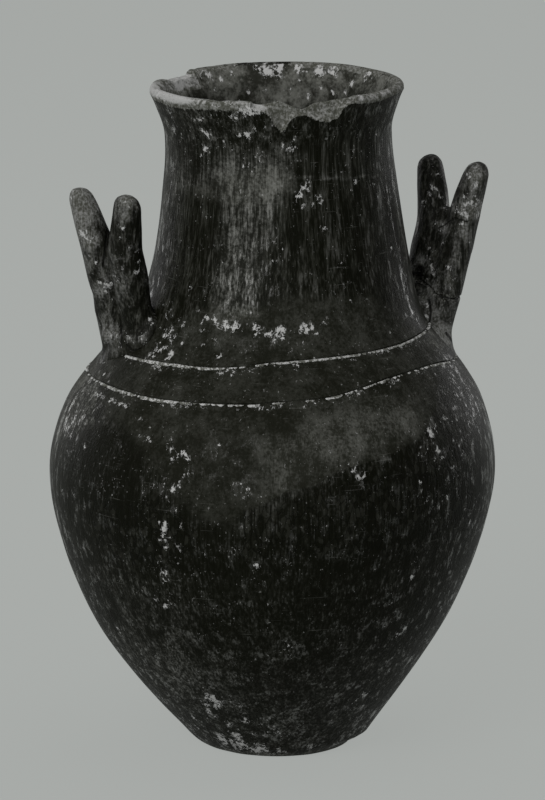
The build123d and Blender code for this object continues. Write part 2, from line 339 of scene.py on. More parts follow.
def burnishedClay():
    f = Finish("burnishedClay", burnish)
    stroke = f.grain((170, 170, 7), 4, 0.65)  # upright strokes of the pebble
    scuff = f.grain((620, 620, 24), 3, 0.6, 4.0)
    hair = f.grain((1150, 1150, 60), 2, 0.5, 6.0)
    mottle = f.grain((44, 44, 34), 6, 0.7)
    patch = f.grain((120, 120, 95), 5, 0.7, 5.0)
    grit = f.grain((520, 520, 520), 3, 0.6)
    speck = f.grain((360, 360, 270), 5, 0.7, 7.0, 0.5)
    streak = scuff * 0.38 + hair * 0.24 + stroke * 0.38
    drawn = f.mask("drawn")  # how plainly the strokes show
    tone = f.mask("tone")
    blotch = (mottle - 0.5) * 0.1 + (patch - 0.5) * 0.08 + (scuff - 0.5) * 0.1 + (stroke - 0.5) * 0.2 * drawn
    worn = f.step(tone + blotch, 0.3, 0.9)
    spread = streak * drawn + (patch * 0.3 + mottle * 0.14 + scuff * 0.36 + grit * 0.2) * (1 - drawn)
    # paler streaks on the polished black are a painted sheen
    sheenShare = f.step(spread + (mottle - 0.5) * 0.1, 0.34, 0.84) * (0.45 + drawn * 0.55)
    sheenShare = sheenShare * (0.3 + f.step(tone + (patch - 0.5) * 0.1, 0.0, 0.3) * 0.7)  # little in the blackest fields
    polished = f.mix(sheenShare, f.tone("black"), f.tone("paintedSheen"))
    matt = f.shade(streak * 0.6 + grit * 0.2 + patch * 0.2, 0.36, 0.78, "matt", "dust")
    plain = f.shade(mottle * 0.4 + grit * 0.3 + patch * 0.3, 0.3, 0.75, "smooth", "smoothLight")
    cloud = f.shade(mottle * 0.35 + grit * 0.25 + patch * 0.2 + hair * 0.2, 0.3, 0.75, "cloud", "cloudLight")
    matte = f.step(f.mask("matte") + (patch - 0.5) * 0.2 + (mottle - 0.5) * 0.24, 0.2, 0.8)  # evenly worn shoulder
    evenWear = f.step(tone + (mottle - 0.5) * 0.1, 0.3, 0.9)
    colour = f.mix(matte, f.mix(worn, polished, matt), f.mix(evenWear, plain, cloud))

    crackle = f.step(f.mask("crackle") + (mottle - 0.5) * 0.6, 0.4, 0.7)  # skin that lifts in small flakes
    flakeTone = f.node("ShaderNodeSeparateColor", {}, {0: f.cells((330, 330, 190), "F1", "Color")})
    lifted = f.step(flakeTone + (mottle - 0.5) * 0.6, 0.74, 0.84) * crackle
    cleft = (1 - f.step(f.cells((250, 250, 90), "DISTANCE_TO_EDGE", "Distance"), 0.02, 0.09)) * crackle
    colour = f.mix(lifted * 0.5, colour, f.tone("smoothLight"))
    colour = f.mix(cleft * 0.6, colour, f.tone("cleft"))

    scratch = f.grain((34, 34, 1250), 2, 0.5, 8.0, 0.5) + (patch - 0.5) * 0.12  # thin and level
    colour = f.mix(f.step(scratch, 0.69, 0.75) * 0.25, colour, f.tone("dust"))

    inside = f.mask("inside")
    film = f.shade(mottle * 0.5 + patch * 0.3 + grit * 0.2, 0.3, 0.75, "inside", "insideDust")
    film = f.mix(f.mask("deep") * f.step(mottle, 0.95, 0.2), film, f.tone("insideShade"))  # painted shade, darker further down the mouth
    colour = f.mix(inside, colour, film)

    flaked = f.mask("bare")
    bare = f.step(flaked + (grit - 0.5) * 0.2 + (patch - 0.5) * 0.25, 0.42, 0.6)
    core = f.shade(grit * 0.5 + patch * 0.3 + hair * 0.2, 0.3, 0.75, "bare", "bareLight")
    core = f.mix(f.step(flaked + (patch - 0.5) * 0.9 + (grit - 0.5) * 0.6, 0.95, 2.0), core, f.tone("lip"))
    colour = f.mix(bare, colour, core)

    density = f.mask("lime")
    crust = f.step(speck + density * 0.24 + (patch - 0.5) * 0.24, 0.7, 0.77)
    vein = f.grain((120, 120, 95), 3, 0.5, 11.0, 0.5) - 0.5
    vein = f.node("ShaderNodeMath", {"operation": "ABSOLUTE"}, {0: vein})
    root = (1 - f.step(vein, 0.005, 0.018)) * f.step(density + (patch - 0.5) * 0.8, 0.45, 0.8)  # marks of fine roots
    lime = f.node("ShaderNodeMath", {"operation": "MAXIMUM", "use_clamp": True}, {0: crust, 1: root})
    fleck = f.grain((760, 760, 520), 2, 0.5, 2.0, 0.5) + (patch - 0.5) * 0.12 + (mottle - 0.5) * 0.06
    colour = f.mix(f.step(fleck, 0.69, 0.77) * 0.7, colour, f.tone("fleck"))
    colour = f.mix(lime * 0.92, colour, f.tone("lime"))

    roughness = 0.5 + worn * 0.15 + matte * 0.1 + (scuff - 0.5) * 0.15 + inside * 0.3 + bare * 0.35 + lime * 0.3
    height = stroke * 0.3 + scuff * 0.2 + grit * 0.2 + mottle * 0.4 + lime * 0.5 + lifted * 0.3 - cleft * 0.4
    polish = f.step(spread + (patch - 0.5) * 0.3, 0.58, 0.82) * burnish["polish"]
    polish = polish * (1 - inside) * (1 - bare) * (1 - lime) * (1 - matte * 0.8)
    return f.finish(colour, roughness, height, burnish["relief"], burnish["gloss"], polish)


# Clay of the handles: the same clay, drawn up by hand and less polished
handleFinish = {
    "black": 0.0035, "paintedSheen": 0.034, "wiped": 0.0078, "wipedLight": 0.023, "dust": 0.055, "film": 0.21, "bare": 0.12,
    "lime": 0.46, "cleft": 0.002, "gloss": 0.1, "polish": 0.3, "relief": 0.0006,
}


def handleClay():
    f = Finish("handleClay", handleFinish)
    draw = f.grain((330, 330, 22), 4, 0.65)  # furrows of the drawing hand
    hair = f.grain((1000, 1000, 70), 2, 0.5, 6.0)
    mottle = f.grain((120, 120, 80), 6, 0.74)
    grit = f.grain((620, 620, 560), 3, 0.6)
    speck = f.grain((430, 430, 320), 5, 0.7, 3.0, 0.5)
    streak = draw * 0.45 + hair * 0.3 + mottle * 0.25
    # black with paler streaks of painted sheen, as on the wall
    colour = f.shade(streak, 0.42, 0.8, "black", "paintedSheen")
    plain = f.shade(mottle * 0.6 + grit * 0.4, 0.3, 0.75, "wiped", "wipedLight")
    wiped = f.mask("wiped") * (0.45 + f.step(mottle, 0.2, 0.6) * 0.4)  # the wiped root is matt like the shoulder
    colour = f.mix(wiped, colour, plain)
    # paler film of dust, with a painted highlight on the left back horn
    dustAndSheen = f.step(f.mask("dust") + (mottle - 0.5) * 0.4 + (draw - 0.5) * 0.3 + (grit - 0.5) * 0.14, 0.25, 1.05)
    colour = f.mix(dustAndSheen, colour, f.shade(grit * 0.4 + hair * 0.3 + mottle * 0.3, 0.25, 0.8, "dust", "film"))
    colour = f.mix(f.step(f.mask("bare") + (grit - 0.5) * 0.3, 0.45, 0.6), colour, f.tone("bare"))
    crust = f.step(speck + f.mask("lime") * 0.27 + (mottle - 0.5) * 0.16, 0.67, 0.75)
    colour = f.mix(crust * 0.92, colour, f.tone("lime"))
    # dark lines: cracks, and painted shade in the creases of the left handle
    crack = f.step(f.mask("crack") + (grit - 0.5) * 0.3, 0.35, 0.75)
    colour = f.mix(crack * 0.9, colour, f.tone("cleft"))
    roughness = 0.55 + dustAndSheen * 0.2 + (grit - 0.5) * 0.12 + crust * 0.2
    height = draw * 0.5 + mottle * 0.5 + grit * 0.25 + crust * 0.4 - crack * 0.8
    polish = f.step(streak, 0.45, 0.8) * handleFinish["polish"] * (1 - dustAndSheen) * (1 - crust)
    return f.finish(colour, roughness, height, handleFinish["relief"], handleFinish["gloss"], polish)


def plainClay():
    f = Finish("plainClay", {"dark": 0.03, "light": 0.1})
    smear = f.grain((90, 90, 60), 5, 0.65)
    grit = f.grain((480, 480, 480), 3, 0.6)
    colour = f.shade(smear + (grit - 0.5) * 0.5, 0.3, 0.7, "dark", "light")
    return f.finish(colour, 0.7 + (grit - 0.5) * 0.2, smear * 0.6 + grit * 0.3, 0.0006)


def limeFill():
    f = Finish("limeFill", {"dirty": 0.1, "white": 0.46})
    chalk = f.grain((260, 260, 260), 4, 0.65)
    grit = f.grain((900, 900, 900), 2, 0.6)
    colour = f.shade(chalk + (grit - 0.5) * 0.6, 0.3, 0.72, "dirty", "white")
    return f.finish(colour, 0.85 + (grit - 0.5) * 0.15, chalk * 0.5 + grit * 0.3, 0.0005)


def oldGlue():
    f = Finish("oldGlue", {"dark": 0.002, "light": 0.008})
    drip = f.grain((240, 240, 120), 3, 0.6)
    return f.finish(f.mix(drip, f.tone("dark"), f.tone("light")), 0.35 + drip * 0.25, drip, 0.0003)


clay = burnishedClay()
grip = handleClay()
wadClay = plainClay()
chalk = limeFill()
glue = oldGlue()
print("finishes made")

# Lime on the wall, as (pixel across, pixel down, size in pixels, strength)
limeSpots = {
    "belly": [
        (170, 449, 3, .9), (176, 455, 4, 1.0), (184, 452, 3.5, 1.0), (188, 459, 2.5, .8), (171, 462, 2.5, .8),
        (174, 486, 3, .8), (166, 523, 2.5, .8), (163, 530, 3, 1.0), (161, 538, 3, 1.0), (168, 541, 3, .9),
        (165, 549, 2.5, .8), (176, 545, 2, .7), (163, 572, 3, 1.0), (166, 580, 2.5, .9), (160, 584, 2, .8),
        (156, 600, 2.5, .9), (166, 606, 3, 1.0), (173, 604, 2, .8), (102, 480, 2.5, .8), (108, 485, 2, .7),
        (85, 447, 2, .9), (147, 440, 2, .9), (140, 454, 2, .8), (220, 446, 1.6, .9), (242, 420, 1.6, .8),
        (372, 434, 2, .9), (285, 465, 2, .8), (279, 472, 1.6, .8), (302, 465, 3, .9), (247, 490, 3, .7),
        (347, 465, 2, .8), (352, 471, 2.5, 1.0), (358, 477, 2.5, 1.0), (364, 475, 2, .8), (356, 464, 2, .7),
        (385, 477, 2.5, .8), (431, 434, 3.5, 1.1), (428, 428, 2.5, .9), (446, 419, 2.5, .9), (452, 424, 2, .8),
        (437, 450, 2.5, .9), (442, 458, 2, .7), (420, 482, 2.5, .9), (422, 490, 2, .8), (425, 500, 2.5, .8),
        (470, 523, 3, 1.0), (312, 527, 2, .6), (341, 519, 3, .4), (411, 578, 2.5, .8), (404, 630, 3, .9),
        (398, 636, 3, .8), (313, 622, 2.5, .7), (287, 649, 2.5, .9), (281, 651, 2, .8), (269, 604, 2, .9),
        (257, 566, 2, 1.0), (300, 500, 2, .5), (200, 634, 2, .9), (185, 602, 2, .7), (118, 629, 2.5, .9)
    ],
    "foot": [
        (212, 698, 5, 1.0), (206, 704, 4, .9), (217, 706, 4, .8), (210, 712, 3, .8), (365, 694, 3, .9),
        (356, 700, 3, .9), (362, 706, 2.5, .8), (194, 718, 2.5, .9), (198, 728, 2.5, .9), (222, 740, 5, 1.3),
        (240, 745, 6, 1.3), (258, 749, 6, 1.2), (280, 750, 4, 1.1), (310, 746, 4, .9), (232, 726, 4, .9),
        (245, 720, 3, .9), (236, 735, 4, 1.0)
    ],
    "neckFoot": [
        (216, 325, 4, .9), (226, 326, 5, 1.0), (236, 326, 5, 1.0), (244, 330, 3, .8), (257, 329, 4, .9),
        (270, 333, 4, .9), (279, 332, 4, .9), (292, 329, 3, .7), (301, 328, 4, 1.0), (298, 335, 2.5, .8),
        (313, 325, 3, .8), (326, 320, 3, .8), (206, 318, 3, .9), (203, 330, 2.5, .8), (216, 340, 2.5, .8),
        (168, 332, 4, 1.0), (174, 340, 4, .9), (160, 328, 3, .8), (162, 350, 4, .9), (170, 356, 4, .9),
        (152, 354, 4, .9), (181, 345, 2.5, .8), (219, 356, 3, .9), (203, 344, 2.5, .7), (191, 288, 2, .9),
        (101, 350, 1.6, .9), (104, 362, 1.6, .9), (104, 374, 1.8, 1.0), (108, 382, 1.6, .9), (352, 301, 2, 1.0),
        (304, 312, 2.5, .6), (330, 292, 2, .5)
    ],
    "neck": [
        (309, 183, 2.5, 1.0), (304, 188, 3, 1.1), (298, 194, 3, 1.0), (296, 200, 2.5, .9), (302, 206, 2.5, .8),
        (317, 197, 2.5, .9), (313, 206, 2, .8), (320, 203, 2, .7), (246, 165, 4, .8), (256, 158, 3, .7),
        (250, 151, 3, .7), (262, 152, 3, .6), (238, 136, 3, .8), (248, 135, 3, .9), (257, 129, 2.5, .9),
        (263, 133, 2.5, .8), (293, 148, 2.5, 1.0), (272, 240, 2, .9), (274, 262, 2, .8), (203, 130, 3, .9),
        (206, 148, 3, .9), (200, 119, 3, .8), (190, 116, 3, .8), (172, 112, 3, .8), (177, 142, 2, .8),
        (234, 119, 3, .9), (242, 112, 4, 1.1), (250, 113, 5, 1.1), (257, 112, 4, 1.0), (373, 95, 3, 1.2),
        (181, 76, 3, .8), (402, 128, 3, .8), (396, 180, 3, .6), (355, 182, 2, .8), (391, 249, 2.5, .9),
        (358, 168, 2, .6), (326, 228, 2, .8)
    ],
}

# Lime on the far side of the mouth, seen over the front lip
mouthLime = [
    (200, 72, 6, .8), (208, 75, 5, .9), (258, 68, 5, 1.0), (268, 72, 6, 1.1), (280, 67, 5, 1.0), (298, 68, 5, 1.0),
    (319, 70, 5, 1.0), (333, 71, 5, 1.0), (370, 72, 5, 1.1), (366, 78, 3, .8), (352, 84, 3, .9), (332, 93, 3, 1.0),
    (231, 72, 3, .8), (222, 79, 3, .6), (278, 78, 3, .8), (300, 80, 2, .8), (262, 88, 3, .6), (320, 86, 3, .6),
    (345, 92, 2, 1.0), (248, 92, 2, .9), (215, 90, 2, .9), (290, 90, 2, .9), (308, 96, 2, 1.0), (241, 101, 2, 1.0)
]
limeSpread = {"wall": 0.0009, "mouth": 0.000674}  # metres for each pixel of a daub's size


def placeDaubs(spots, spread, far=False):
    return [(*onJar(px, py, far), size * spread, strength) for px, py, size, strength in spots]


limeCentres = placeDaubs([spot for spots in limeSpots.values() for spot in spots], limeSpread["wall"])
mouthCentres = placeDaubs(mouthLime, limeSpread["mouth"], far=True)

# Worn, paler and dark fields of the wall, some of them painted highlights and painted shade: drawn edge in pixels, how
# soft it is, and how much paler (+) or blacker (-)
wornFields = {
    "upperBellyRight": ([(264, 446), (330, 410), (405, 396), (430, 410), (424, 440), (360, 468), (300, 494),
                         (264, 506)], 26, 0.3),
    "neckStreak": ([(222, 160), (284, 160), (276, 214), (256, 262), (252, 316), (226, 320), (218, 290),
                    (222, 250)], 16, 0.4),
    "neckBand": ([(170, 176), (222, 168), (300, 176), (300, 196), (220, 200), (176, 190)], 9, 0.22),
    "rimSeam": ([(284, 175), (340, 177), (385, 173), (385, 176), (340, 180), (284, 178)], 1.5, 0.4),
    "neckLow": ([(206, 240), (250, 236), (262, 290), (256, 322), (210, 322)], 12, 0.12),
    "shoulderFront": ([(190, 316), (296, 296), (372, 296), (396, 336), (330, 350), (240, 352), (170, 350)], 12, 0.1),
    "rightRoot": ([(430, 320), (446, 324), (456, 344), (442, 350), (428, 340)], 4, 0.8),
    # painted highlight along the right edge of the neck
    "neckEdgeHighlight": ([(395, 212), (400, 212), (409, 262), (405, 270)], 2, 0.7),
    "underRimLeft": ([(158, 102), (250, 116), (300, 140), (290, 172), (230, 180), (168, 176)], 10, 0.14),
    # painted highlight on the left edge of the shoulder, beside the crease
    "leftEdgeHighlight": ([(50, 440), (58, 398), (78, 366), (96, 348), (102, 372), (97, 404), (92, 436)], 4, 0.34),
    # painted shade along a crease below the left root
    "leftCreaseShade": ([(96, 344), (99, 346), (105, 373), (99, 405), (95, 419), (93, 418), (97, 404),
                    (102, 373)], 1.5, -0.5),
    # painted shade on the right of the neck, away from the light
    "neckRightShade": ([(300, 206), (410, 190), (420, 290), (380, 280), (310, 284)], 20, -0.08),
    "darkBand": ([(70, 490), (160, 492), (205, 524), (236, 532), (300, 508), (380, 470), (470, 440), (480, 500),
                  (430, 560), (330, 590), (220, 590), (120, 560)], 10, -0.2),
    "leftBelly": ([(66, 430), (136, 424), (150, 480), (74, 500)], 10, -0.32),
    "lowLeft": ([(90, 560), (170, 575), (200, 640), (180, 680), (120, 640)], 16, 0.12),
}
matteField = [
    (98, 378), (102, 356), (150, 326), (214, 312), (300, 300), (372, 296), (404, 318), (440, 345), (436, 405),
    (422, 439), (391, 455), (354, 468), (328, 480), (287, 496), (246, 507), (230, 525), (209, 519), (173, 486),
    (142, 446), (112, 414)
]
cloudField = [(176, 188), (215, 172), (250, 162), (292, 168), (302, 192), (262, 206), (230, 208), (190, 202)]
smudgeField = [(156, 98), (250, 114), (306, 136), (300, 176), (230, 190), (166, 184)]  # rubbed across the strokes
crackleFields = [([(244, 512), (330, 486), (430, 450), (476, 440), (480, 540), (400, 560), (240, 560)], 14),
                 ([(80, 500), (170, 500), (200, 540), (170, 570), (100, 560)], 14)]

# Scattered lime: edges in pixels, softness and thickness of the scatter
sprayFields = [([(162, 104), (250, 118), (300, 134), (292, 164), (200, 164), (168, 136)], 8, 0.3),
               ([(150, 300), (210, 312), (330, 316), (336, 344), (250, 350), (150, 358)], 8, 0.2),
               ([(150, 436), (190, 436), (200, 490), (176, 610), (150, 606), (152, 520)], 8, 0.26),
               ([(405, 415), (470, 410), (480, 520), (420, 520)], 10, 0.26),
               ([(188, 680), (240, 690), (300, 736), (250, 756), (196, 730)], 8, 0.3)]


wallWear = {
    # flank: the sides as seen from the front are paler and streakier, a painted sheen at the edge of the form
    "tone": 0.3, "drift": 0.22, "flank": 0.2, "flankDrift": 0.45, "low": 0.22, "lowFrom": 0.12, "lowOver": 0.07,
    "strokes": [(0.03, 0.15), (0.1, 0.3), (0.2, 0.35), (0.3, 0.6), (0.33, 1.0)],  # (height, how plainly they show)
    # the deep mask is painted shade inside the mouth, darker further down
    "smudge": 0.75, "cloud": 0.5, "mouthLime": 1.3, "deep": 0.85, "deepFrom": 0.443, "deepOver": 0.018,
}


def toStretch(px, py, start, end):  # distance in pixels to the stretch between two points
    (ax, ay), (bx, by) = start, end
    share = np.clip(((px - ax) * (bx - ax) + (py - ay) * (by - ay)) / ((bx - ax) ** 2 + (by - ay) ** 2), 0, 1)
    return np.hypot(px - ax - share * (bx - ax), py - ay - share * (by - ay))


def insideBy(px, py, edge):  # how far inside a drawn edge, in pixels
    inside = np.zeros(len(px), dtype=bool)
    nearest = np.full(len(px), 1e9)
    for start, end in zip(edge, edge[1:] + edge[:1]):
        (ax, ay), (bx, by) = start, end
        inside ^= ((ay > py) != (by > py)) & (px < ax + (bx - ax) * (py - ay) / ((by - ay) or 1e-9))
        nearest = np.minimum(nearest, toStretch(px, py, start, end))
    return np.where(inside, nearest, -nearest)


def within(px, py, edge, soft):  # 1 well inside a drawn edge, 0 outside it
    return ease(insideBy(px, py, edge) / soft / 2 + 0.5)


def daubsAt(spots, daubs):  # thickest of the round daubs, each (place, size, strength), at each spot
    density = np.zeros(len(spots))
    for *middle, size, strength in daubs:
        gap = np.linalg.norm(spots - np.array(middle), axis=1) / size
        density = np.maximum(density, strength * np.exp(-0.5 * gap ** 2))
    return density


def dressWall(mesh, co, placed, outside, bare, lime):  # masks that the wall's finish reads
    x, y, z = co.T
    radius = np.maximum(radiusOf(co), 1e-4)
    px, py = toPixels(placed)
    facing = ease(-y / radius / 0.3) * outside  # 1 on what the photograph shows
    drift = perlin(co, 9)
    byHandles = ease((z - 0.248) / 0.012) * ease((0.315 - z) / 0.012)
    # the sides as seen from the front get paler, streakier clay: a painted sheen at the edge of the form
    flank = ease((np.abs(x) / radius - 0.945) / 0.045) * (1 - byHandles)
    tone = wallWear["tone"] + wallWear["drift"] * drift * (1 - 0.6 * facing)
    tone = tone + (wallWear["flank"] + wallWear["flankDrift"] * drift) * flank
    tone = tone + wallWear["low"] * ease((wallWear["lowFrom"] - z) / wallWear["lowOver"])
    for edge, soft, amount in wornFields.values():
        tone = tone + facing * amount * within(px, py, edge, soft)
    drawn = np.interp(z, *zip(*wallWear["strokes"])) + flank
    drawn = drawn * (1 - wallWear["smudge"] * facing * within(px, py, smudgeField, 12))
    matte = (1 - facing) * ease(0.6 + 1.6 * drift) * ease((0.31 - z) / 0.01)
    matte = matte * ease((z - 0.2 - 0.05 * perlin(co, 17)) / 0.05)
    soft = np.maximum(np.interp(px, (190, 262), (24, 3)), np.interp(py, (310, 400), (16, 3)))  # plain at lower right
    matte = np.maximum(matte, facing * ease((insideBy(px, py, matteField) + 6 * perlin(co, 45)) / soft / 2 + 0.5))
    matte = np.maximum(matte, wallWear["cloud"] * facing * within(px, py, cloudField, 10))
    crackle = (1 - facing) * ease(drift + 0.2) * ease((z - 0.1) / 0.03) * ease((0.2 - z) / 0.03)
    for edge, soft in crackleFields:
        crackle = np.maximum(crackle, facing * within(px, py, edge, soft))
    patch = np.clip(perlin(co, 24) - 0.3, 0, 1)
    shown = daubsAt(co, limeCentres) * (facing > 0)
    for edge, soft, amount in sprayFields:
        shown = np.maximum(shown, facing * amount * within(px, py, edge, soft))
    shown = np.maximum(shown, (0.3 + 0.5 * (1 - facing)) * patch)
    mouth = np.maximum(wallWear["mouthLime"] * daubsAt(co, mouthCentres), patch * 0.6)
    lime = np.maximum(np.where(outside > 0.5, shown, mouth), lime)
    setMasks(mesh, tone=tone, drawn=drawn, matte=matte * outside, crackle=crackle, lime=lime, bare=bare,
             inside=1 - outside, deep=wallWear["deep"] * ease((wallWear["deepFrom"] - z) / wallWear["deepOver"]))


def fineShape(co, outside):  # strokes and finger ridges that stand out of one face of the wall
    x, y, z = co.T
    radius = np.maximum(radiusOf(co), 1e-4)
    stroke = jar["stroke"] * perlin(co, np.array((150, 150, 10))) + jar["dimple"] * perlin(co, jar["dimpleSize"])
    ridge = jar["ridge"] * np.sin(z * 2 * pi / jar["ridgeGap"] + 2 * perlin(co, 11)) + jar["ridgeLump"] * perlin(co, 30)
    move = np.where(outside > 0.5, stroke, ridge) * ease(radius / 0.03)
    return np.stack((x + x / radius * move, y + y / radius * move, z), axis=1)


def finishWall(name, mesh, node, outside, bare=0.0, lime=0.0, first=None):
    co = getPoints(mesh) if first is None else first
    formed = handShape(fineShape(co, outside))
    dressWall(mesh, co, formed, outside, bare + np.zeros(len(co)), lime + np.zeros(len(co)))
    setPoints(mesh, formed)
    makePiece(name, mesh, node, clay, 28)


def outsideOf(co):  # 1 on the outer face and the lip, 0 on the inner face
    middle = (outerRadius(co[:, 2]) + innerRadius(co[:, 2])) / 2
    return np.where((radiusOf(co) > middle) | (co[:, 2] > 0.449), 1.0, 0.0)


# Seams between the courses: (height outside, steepness towards the inside)
seams = {"floor": (jar["floor"], 0.0), "flank": (0.1, 0.3), "belly": (0.205, 0.8), "neck": (0.306, 1.5),
         "rim": (0.405, 0.8)}


def courseLoop(low, high, outerRows=None):
    outer = outerRows or rowsBetween(outerLine, low[0], high[0], jar["step"])
    inner = rowsBetween(innerLine, seamInside(*high), seamInside(*low), jar["innerStep"])
    return outer + inner


# Floor slab with the worn foot
footSet = {"hollow": 0.0008, "rubFrom": 0.047, "rubOver": 0.008, "rubHigh": 0.009, "wear": 0.0005, "wearLump": 0.0007,
           "rightWear": 0.0025, "lift": 0.6, "bare": 0.55, "lime": 0.5,
           "floorRings": (0.06, 0.054, 0.045, 0.035, 0.025, 0.015, 0.007, 0)}

footLine = smoothLine([(0, footSet["hollow"]), (0.03, footSet["hollow"] / 2), (0.046, 0), (0.0515, 0.0002),
                       (0.0558, 0.002), (0.0592, 0.005), (float(outerRadius(jar["floor"])), jar["floor"])], 5)
slab = [(float(max(r, 0)), float(z)) for r, z in footLine] + [(r, jar["floor"]) for r in footSet["floorRings"]]
mesh = toMesh("baseDisc", spinWall(slab, closed=False))
co = getPoints(mesh)
radius = radiusOf(co)
outer = np.where((co[:, 2] < 0.0125) | (radius > 0.062), 1.0, 0.0)
rub = ease((radius - footSet["rubFrom"]) / footSet["rubOver"]) * ease((footSet["rubHigh"] - co[:, 2]) / 0.006)
toRight = ease((co[:, 0] - 0.02) / 0.04)
wear = rub * (footSet["wear"] + footSet["wearLump"] * (perlin(co, 60) + 0.5) + footSet["rightWear"] * toRight)
worn = co.copy()
worn[:, :2] *= (1 - wear / np.maximum(radius, 0.01))[:, None]
worn[:, 2] += wear * footSet["lift"] * ease(co[:, 0] / 0.05)
footLime = footSet["lime"] * rub * ease(perlin(co, 40) + 0.4)
finishWall("baseDisc", mesh, "base_disc", outer, bare=footSet["bare"] * rub, lime=footLime, first=worn)

# Wall courses below the shoulder
for name, node, low, high in (("lowerWall", "lower_wall", "floor", "flank"),
                              ("bellyWall", "belly_wall", "flank", "belly")):
    mesh = toMesh(name, spinWall(courseLoop(seams[low], seams[high])))
    finishWall(name, mesh, node, outsideOf(getPoints(mesh)))

# Shoulder course, with the two incised lines: pixels along each line, and its height round the back
lines = {
    "upper": {"path": [(140, 359), (170, 364), (209, 368), (240, 367), (272, 363), (328, 358), (370, 352), (401, 344),
                       (422, 333)], "level": 0.2795},
    "lower": {"path": [(104, 384), (122, 391), (147, 398), (178, 402), (209, 404), (250, 405), (277, 403), (328, 398),
                       (360, 389), (391, 378), (432, 365), (456, 357)], "level": 0.2615},
    "width": 0.0026, "depth": 0.0016, "backRise": 0.006, "tick": 0.0068, "tickFrom": 200, "tickTo": 226,
    "tickCut": 0.3, "tickLime": 0.75, "wander": 0.0008, "smear": 0.0022, "fineStep": 0.0004,
}


def lineHeights(name):
    level = lines[name]["level"]
    back = [(radians(30), level + lines["backRise"]), (radians(90), level), (radians(150), level - lines["backRise"])]
    front = [onJar(px, py) for px, py in lines[name]["path"]]
    turns = sorted(back + [(atan2(p[1], p[0]) % (2 * pi), p[2]) for p in front])
    around = [(turns[-1][0] - 2 * pi, turns[-1][1])] + turns + [(turns[0][0] + 2 * pi, turns[0][1])]
    return smoothLine(around, 20)


upperHeights = lineHeights("upper")
lowerHeights = lineHeights("lower")


def followLines(co):  # sets level rows to the run of the two lines
    turn = turnOf(co)
    high, low = lines["upper"]["level"], lines["lower"]["level"]
    knots = [0.222, low - 0.012, low + 0.005, high - 0.005, high + 0.004, 0.3035]
    lowerShift = np.interp(turn, lowerHeights[:, 0], lowerHeights[:, 1]) - low
    upperShift = np.interp(turn, upperHeights[:, 0], upperHeights[:, 1]) - high
    shift = (np.interp(co[:, 2], knots, [0, 1, 1, 0, 0, 0]) * lowerShift
             + np.interp(co[:, 2], knots, [0, 0, 0, 1, 1, 0]) * upperShift)
    z = co[:, 2] + shift
    radius = radiusOf(co)
    scale = (radius + outerRadius(z) - outerRadius(co[:, 2])) / radius
    return np.stack((co[:, 0] * scale, co[:, 1] * scale, z), axis=1)


def lineRows():  # heights of the outer rows, close together about each line
    heights = list(np.linspace(seams["belly"][0], 0.25, 28))
    heights += list(np.arange(0.2502, 0.266, lines["fineStep"])) + list(np.linspace(0.2664, 0.2752, 8))
    heights += list(np.arange(0.2756, 0.2836, lines["fineStep"])) + list(np.linspace(0.285, seams["neck"][0], 15))
    return [(float(outerRadius(z)), float(z)) for z in heights]


mesh = toMesh("shoulderWall", spinWall(courseLoop(seams["belly"], seams["neck"], lineRows())))
co = getPoints(mesh)
outer = outsideOf(co)
turn = np.degrees(turnOf(co))
under = [lines[name]["level"] - co[:, 2] for name in ("upper", "lower")]  # how far below each line
wander = perlin(co * (1, 1, 0), 60)
cut = np.clip(1 - np.minimum(*np.abs(under)) / (lines["width"] * 0.4), 0, 1) * (0.8 + 0.4 * wander)
tick = ease((turn - lines["tickFrom"]) / 4) * ease((lines["tickTo"] - turn) / 6)
fromTick = np.abs(lines["tick"] - under[1] + lines["wander"] * wander)
cut = np.maximum(cut, lines["tickCut"] * tick * np.clip(1 - fromTick / 0.0008, 0, 1))
below = np.maximum(*(bell(gap / lines["smear"] - 1) for gap in under))
followed = np.where(outer[:, None] > 0.5, followLines(co), co)
followed[:, :2] *= 1 - (lines["depth"] * cut * outer / radiusOf(co))[:, None]
smear = np.maximum(below * (0.4 + 0.5 * wander), lines["tickLime"] * tick * bell(fromTick / 0.002))
finishWall("shoulderWall", mesh, "shoulder_wall", outer, lime=outer * smear, first=followed)

# Lime left in the two lines, as a bead that sinks out of sight where it is lost and is thickest at the front left
limeBead = {"width": 0.0012, "drop": 0.0008, "set": 0.0006, "keep": {"upper": 0.85, "lower": 0.58}, "sink": 0.0024,
            "rough": 0.0004, "fat": 0.6, "fatAt": 226, "fatOver": 16}

